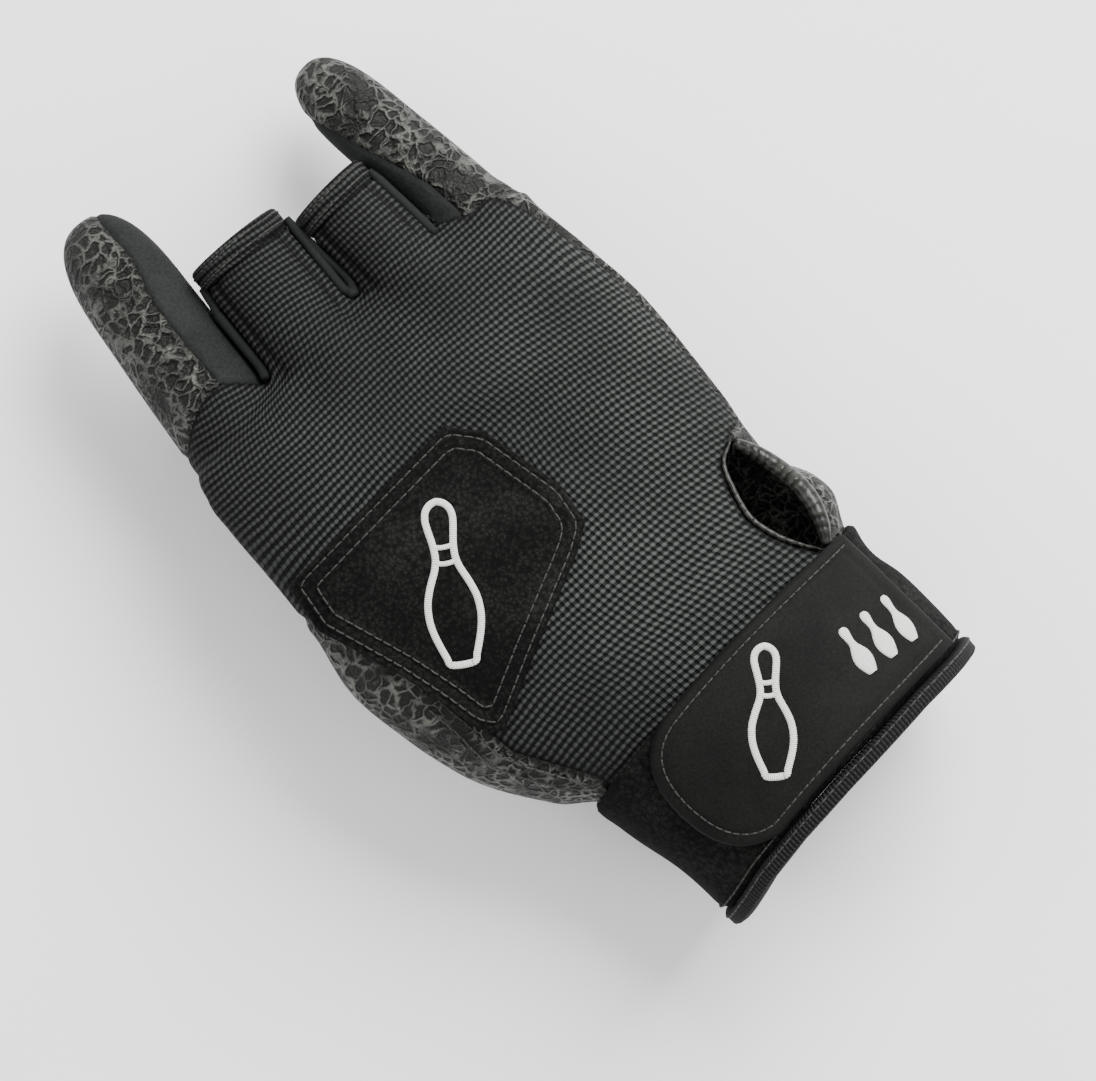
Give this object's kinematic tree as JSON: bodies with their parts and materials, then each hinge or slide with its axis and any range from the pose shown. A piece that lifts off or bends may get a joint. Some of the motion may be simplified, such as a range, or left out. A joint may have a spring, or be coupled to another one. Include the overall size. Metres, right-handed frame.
{
  "type": "bowling glove",
  "caption": "Right-hand bowling glove in its worn form: knit back, grippy palm, closed outer fingers, open middle fingers, thumb hole, wrist cuff with closure strap.",
  "frame": {"origin": "middle of the wrist opening inside the cuff", "axes": "+Y along the hand towards the fingertips, +X towards the little finger, +Z out of the back of the hand"},
  "size_m": [0.103, 0.2053, 0.0582],
  "materials": {
    "rib_knit": "stretch rib knit with rows of raised stitches",
    "textured_leather": "synthetic leather with a raised crackle print",
    "smooth_panel": "soft smooth synthetic leather",
    "edge_binding": "ribbed binding tape",
    "piping": "rolled shiny piping",
    "fuzzy_patch": "short brushed nap",
    "loop_band": "unbroken loop pile",
    "strap_face": "matt smooth face with a stitched edge",
    "thread": "sewing thread",
    "embroidery": "white satin stitch"
  },
  "bodies": {
    "root": {"back_panel": "rib_knit", "palm_panel": "textured_leather", "index_stall": "textured_leather", "index_side_panel": "smooth_panel", "little_stall": "textured_leather", "little_side_panel": "smooth_panel", "middle_hem": "rib_knit", "ring_hem": "rib_knit", "thumb_binding": "edge_binding", "slit_piping": "piping", "slit_rim": "piping", "thumb_patch": "fuzzy_patch", "cuff_band": "loop_band", "cuff_binding": "edge_binding", "closure_strap": "strap_face"}
  },
  "joints": []
}
